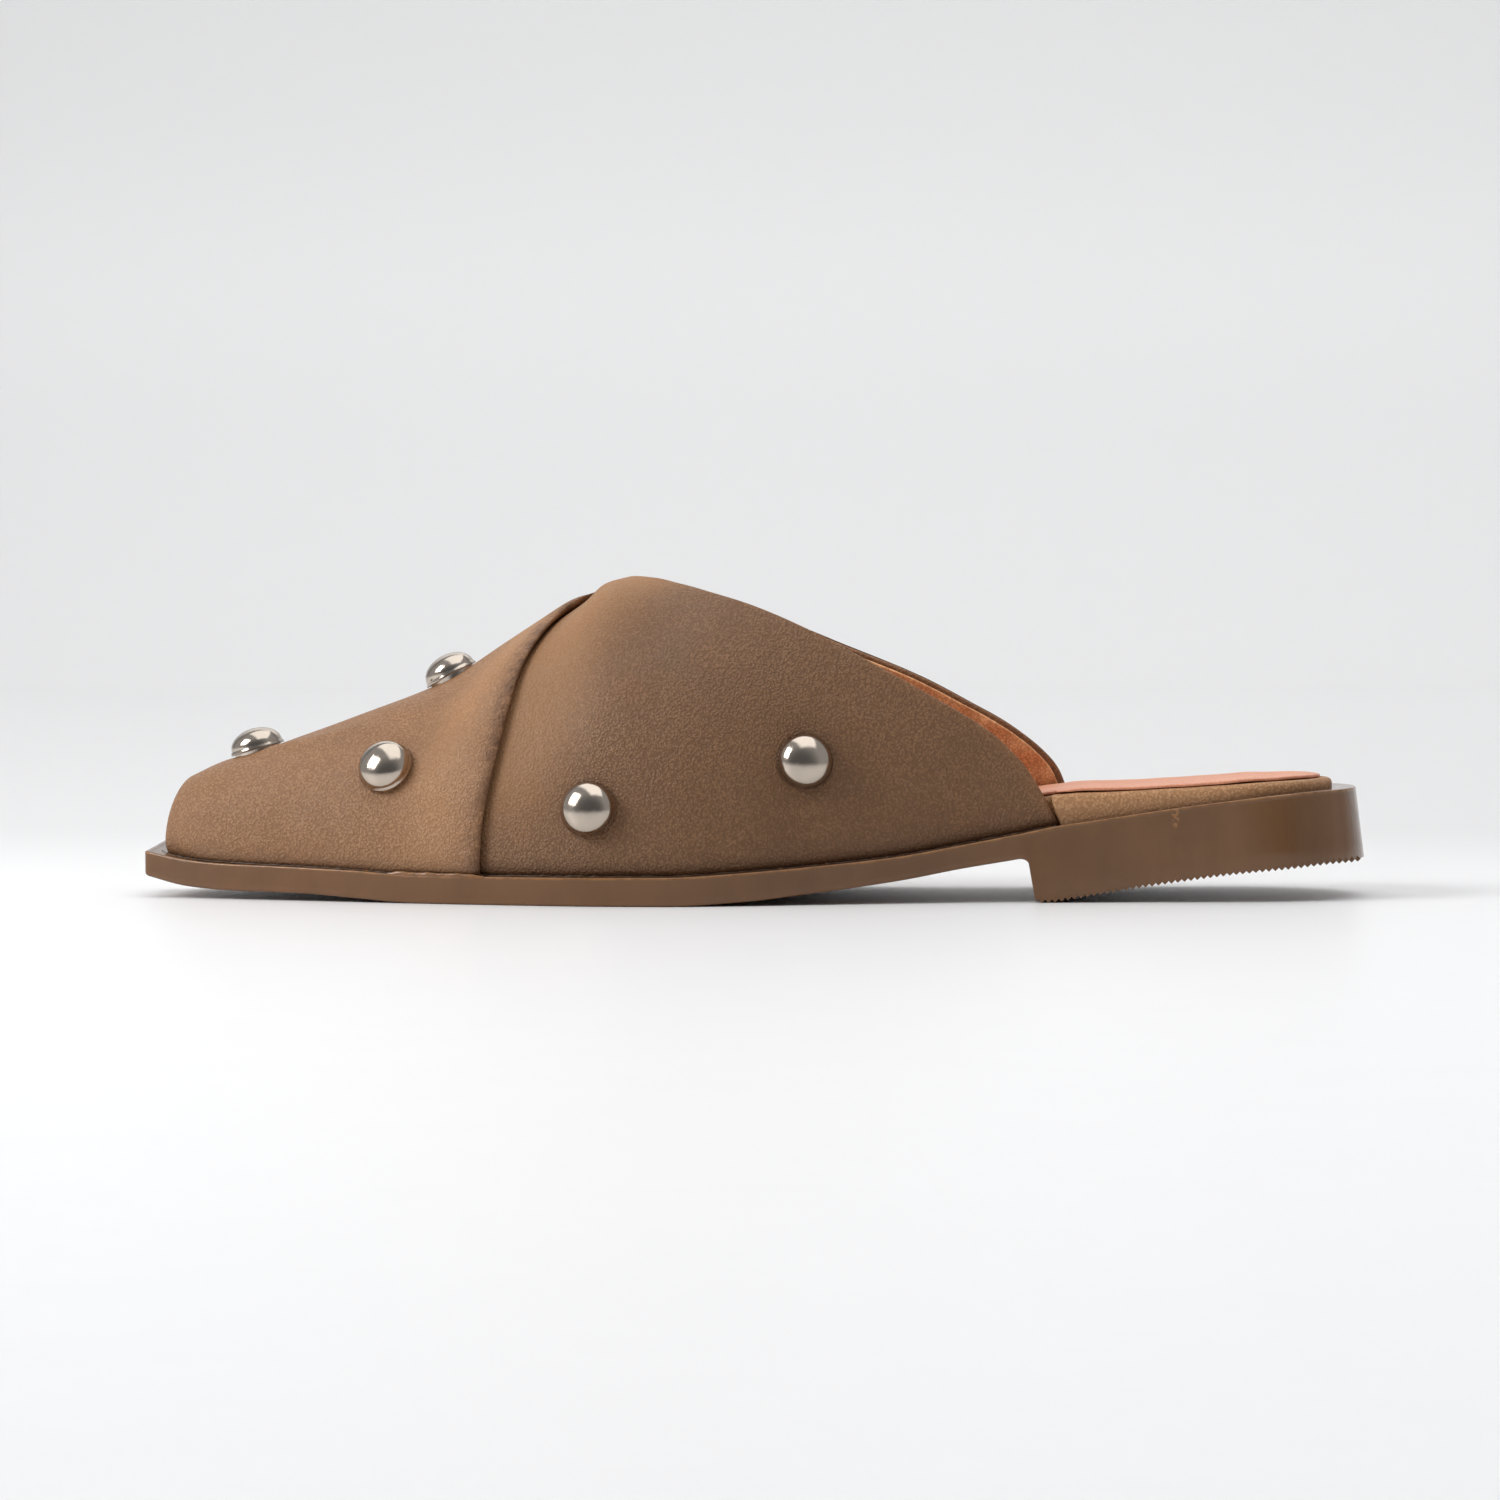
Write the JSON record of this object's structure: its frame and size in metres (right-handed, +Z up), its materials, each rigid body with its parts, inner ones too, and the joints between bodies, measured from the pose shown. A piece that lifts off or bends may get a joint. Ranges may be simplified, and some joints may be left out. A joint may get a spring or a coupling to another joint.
{
  "type": "mule shoe",
  "caption": "Left low-heeled mule with a snipped toe, an open back, a panel wrapped over the outer quarter and domed studs.",
  "frame": {"origin": "middle of the shoe's box, on the floor under it", "axes": "+X from the toe to the heel along the sole, +Y to the inner side of the foot, +Z up"},
  "size_m": [0.27, 0.0894, 0.0696],
  "materials": {
    "sole": "moulded brown sole with a soft gloss",
    "footbed": "taupe leather wrapped over the board",
    "sock": "smooth pinkish tan lining leather",
    "quarter_leather": "fine grained brown leather",
    "wrap_leather": "fine grained brown leather",
    "stud": "polished domed metal"
  },
  "bodies": {
    "root": {"outsole": "sole", "footbed": "footbed", "sock": "sock", "upper": "quarter_leather", "wrap_panel": "wrap_leather", "stud_toe_ridge": "stud", "stud_vamp_ridge": "stud", "stud_vamp_outer": "stud", "stud_ball_outer": "stud", "stud_waist_outer": "stud", "stud_vamp_inner": "stud", "stud_ball_inner": "stud", "stud_waist_inner": "stud"}
  },
  "joints": []
}
